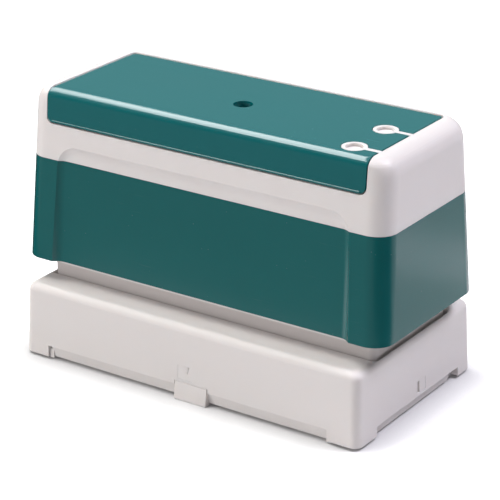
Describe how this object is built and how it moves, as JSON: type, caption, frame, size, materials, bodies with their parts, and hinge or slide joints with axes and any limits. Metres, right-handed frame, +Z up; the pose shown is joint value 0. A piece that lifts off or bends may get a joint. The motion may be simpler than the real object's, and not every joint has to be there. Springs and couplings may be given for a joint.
{
  "type": "self inking stamp",
  "caption": "Oblong hand stamp with its own ink supply: a sprung grip handle presses the printing face through a skirt, and it stands in a storage cover.",
  "frame": {"origin": "on the standing surface, under the middle of the stamp's footprint", "axes": "+X along the stamp to the right, +Y to the back, +Z up"},
  "size_m": [0.1216, 0.0638, 0.0798],
  "materials": {
    "white_plastic": "satin moulded, warm white",
    "teal_plastic": "glossy moulded, dark teal",
    "grey_plastic": "matt moulded grey",
    "spring_steel": "drawn wire",
    "screw_steel": "bright zinc plate",
    "ink_felt": "felt soaked with dark ink",
    "printing_rubber": "fine porous rubber, blank face",
    "foam": "closed-cell foam",
    "label_paper": "matt card"
  },
  "bodies": {
    "cover": {"cover_wall": "white_plastic", "cover_plate": "white_plastic", "rest_pad": "foam"},
    "skirt": {"skirt_frame": "white_plastic", "spring_front_left": "spring_steel", "spring_front_right": "spring_steel", "spring_back_left": "spring_steel", "spring_back_right": "spring_steel"},
    "handle": {"handle_shell": "white_plastic", "grip_sleeve": "teal_plastic", "inner_core": "grey_plastic", "ink_tray": "grey_plastic", "ink_pad_upper": "ink_felt", "ink_pad_lower": "ink_felt", "printing_sheet": "printing_rubber", "sheet_frame": "white_plastic", "ink_tube_front": "white_plastic", "ink_tube_back": "white_plastic", "stop_screw_front_left": "screw_steel", "stop_screw_front_right": "screw_steel", "stop_screw_back_left": "screw_steel", "stop_screw_back_right": "screw_steel", "tray_screw_front_left": "screw_steel", "tray_screw_front_right": "screw_steel", "tray_screw_back_left": "screw_steel", "tray_screw_back_right": "screw_steel", "centre_screw": "screw_steel", "name_label": "label_paper"},
    "lid_body": {"lid": "teal_plastic"},
    "plug_front": {"ink_plug_front": "white_plastic"},
    "plug_back": {"ink_plug_back": "white_plastic"}
  },
  "joints": [
    {"name": "lift_out", "type": "slide", "parent": "cover", "child": "skirt", "axis": [0, 0, 1], "range_m": [0, 0.045]},
    {"name": "press", "type": "slide", "parent": "skirt", "child": "handle", "axis": [0, 0, -1], "range_m": [0, 0.004], "stiffness_N_per_m": 5000, "springref_m": -0.001, "deforming": ["spring_front_left", "spring_front_right", "spring_back_left", "spring_back_right"]},
    {"name": "lid_lift", "type": "slide", "parent": "handle", "child": "lid_body", "axis": [0, 0, 1], "range_m": [0, 0.025]},
    {"name": "plug_front_lift", "type": "slide", "parent": "handle", "child": "plug_front", "axis": [0, 0, 1], "range_m": [0, 0.012]},
    {"name": "plug_back_lift", "type": "slide", "parent": "handle", "child": "plug_back", "axis": [0, 0, 1], "range_m": [0, 0.012]}
  ]
}
